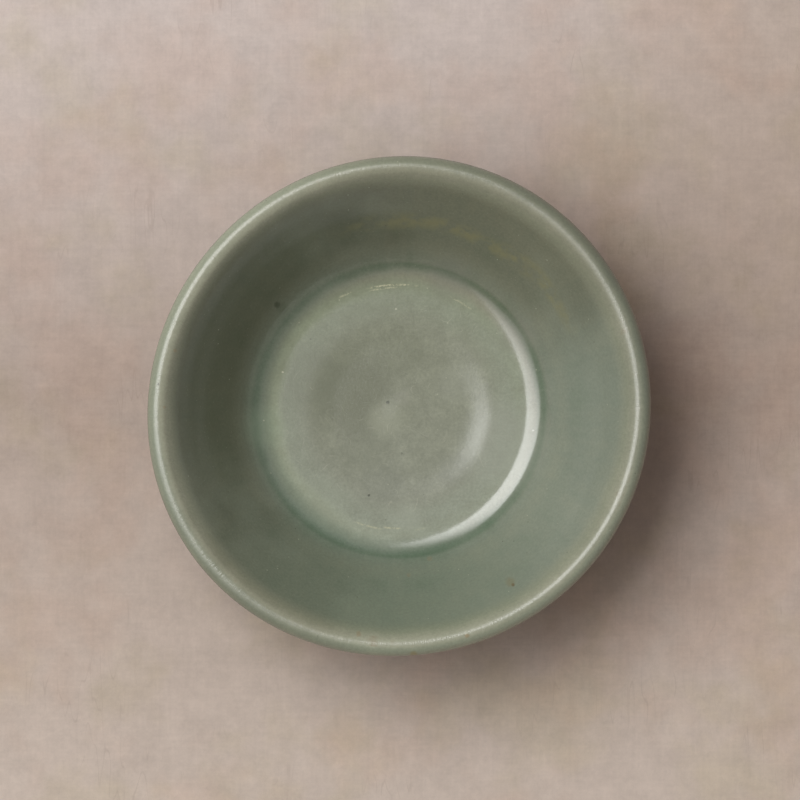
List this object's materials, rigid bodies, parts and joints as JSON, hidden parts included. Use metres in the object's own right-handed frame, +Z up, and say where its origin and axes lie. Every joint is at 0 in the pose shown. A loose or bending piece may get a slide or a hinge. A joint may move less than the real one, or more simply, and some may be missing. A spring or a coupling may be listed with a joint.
{
  "type": "brush washer",
  "caption": "Shallow flared round dish of glazed stoneware on a low foot ring, which holds the water that writing and painting brushes are rinsed in.",
  "frame": {"origin": "middle of the ring of bare clay that the dish stands on, in the plane of the surface under it", "axes": "+Z up along the dish's turning axis, out of its mouth; X and Y are level, and the dish is the same all round"},
  "size_m": [0.13, 0.13, 0.041],
  "materials": {
    "grey_stoneware": "unglazed fired grey stoneware, fine grained and matt",
    "burnt_foot_clay": "bare stoneware that the kiln has burnt orange brown, matt and slightly gritty",
    "celadon_glaze": "grey-green celadon glaze, glossy on the walls, satin with fine wear on the floor, deeper where it pools"
  },
  "bodies": {
    "root": {"thrown_body": "grey_stoneware", "foot_ring": "burnt_foot_clay", "inside_glaze": "celadon_glaze", "outside_glaze": "celadon_glaze", "foot_recess_glaze": "celadon_glaze"}
  },
  "joints": []
}
